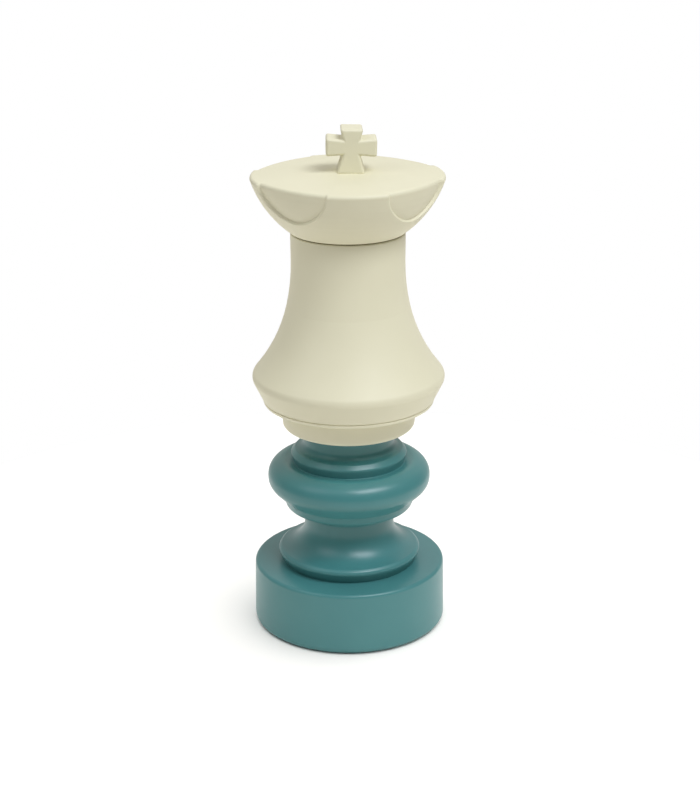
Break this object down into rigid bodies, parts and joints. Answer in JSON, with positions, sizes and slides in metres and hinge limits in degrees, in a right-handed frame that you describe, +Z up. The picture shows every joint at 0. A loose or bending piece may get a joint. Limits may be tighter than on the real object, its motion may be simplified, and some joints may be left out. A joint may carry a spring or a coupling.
{
  "type": "giant chess king",
  "caption": "Tall two-tone garden chess king: weighted drum base, turned stem, bell-shaped body and a lift-off scooped crown with a thick cross on top.",
  "frame": {"origin": "centre of the ring that the piece stands on, on the ground", "axes": "+Z up along the turned axis; the cross faces -Y and its arms lie along X"},
  "size_m": [0.2426, 0.2426, 0.635],
  "materials": {
    "teal_body": "satin moulded-in teal",
    "cream_body": "matte moulded-in cream",
    "black_plastic": "fine-textured black moulding",
    "seal_rubber": "matte black rubber",
    "zinc_steel": "zinc plated",
    "brass_insert": "turned brass",
    "dry_sand": "dry fine sand"
  },
  "bodies": {
    "standing_piece": {"base_drum": "teal_body", "stem_shell": "teal_body", "collar_shell": "teal_body", "body_base": "cream_body", "bell_shell": "cream_body", "base_plate": "black_plastic", "foot_ring": "seal_rubber", "base_plate_gasket": "seal_rubber", "stem_gasket": "seal_rubber", "body_gasket": "seal_rubber", "tie_seal_washer": "seal_rubber", "base_plate_screws": "zinc_steel", "tie_rod": "zinc_steel", "spreader_plate": "zinc_steel", "bottom_nut": "zinc_steel", "top_washer": "zinc_steel", "top_nut": "zinc_steel", "sand_ballast": "dry_sand"},
    "crown_seal": {"crown_seal": "seal_rubber"},
    "crown": {"crown_shell": "cream_body", "crown_floor": "cream_body", "finial_cross": "cream_body", "finial_screw": "zinc_steel", "finial_washer": "zinc_steel", "finial_insert": "brass_insert", "finial_pins": "zinc_steel"},
    "fill_plug_seal": {"fill_plug_seal": "seal_rubber"},
    "fill_plug": {"fill_plug": "black_plastic"}
  },
  "joints": [
    {"name": "crown_lift", "type": "slide", "parent": "standing_piece", "child": "crown_seal", "axis": [0, 0, 1], "range_m": [0, 0.06]},
    {"name": "crown_turn", "type": "hinge", "parent": "crown_seal", "child": "crown", "pos_m": [0, 0, 0.5096], "axis": [0, 0, 1], "continuous": true},
    {"name": "fill_plug_slide", "type": "slide", "parent": "standing_piece", "child": "fill_plug_seal", "axis": [0, 0, -1], "range_m": [0, 0.024]},
    {"name": "fill_plug_turn", "type": "hinge", "parent": "fill_plug_seal", "child": "fill_plug", "pos_m": [0, 0, 0.004], "axis": [0, 0, -1], "range_deg": [0, 2160]}
  ],
  "couplings": [
    {"joint": "fill_plug_slide", "follows": "fill_plug_turn", "m_per_rad": 0.00063662}
  ]
}
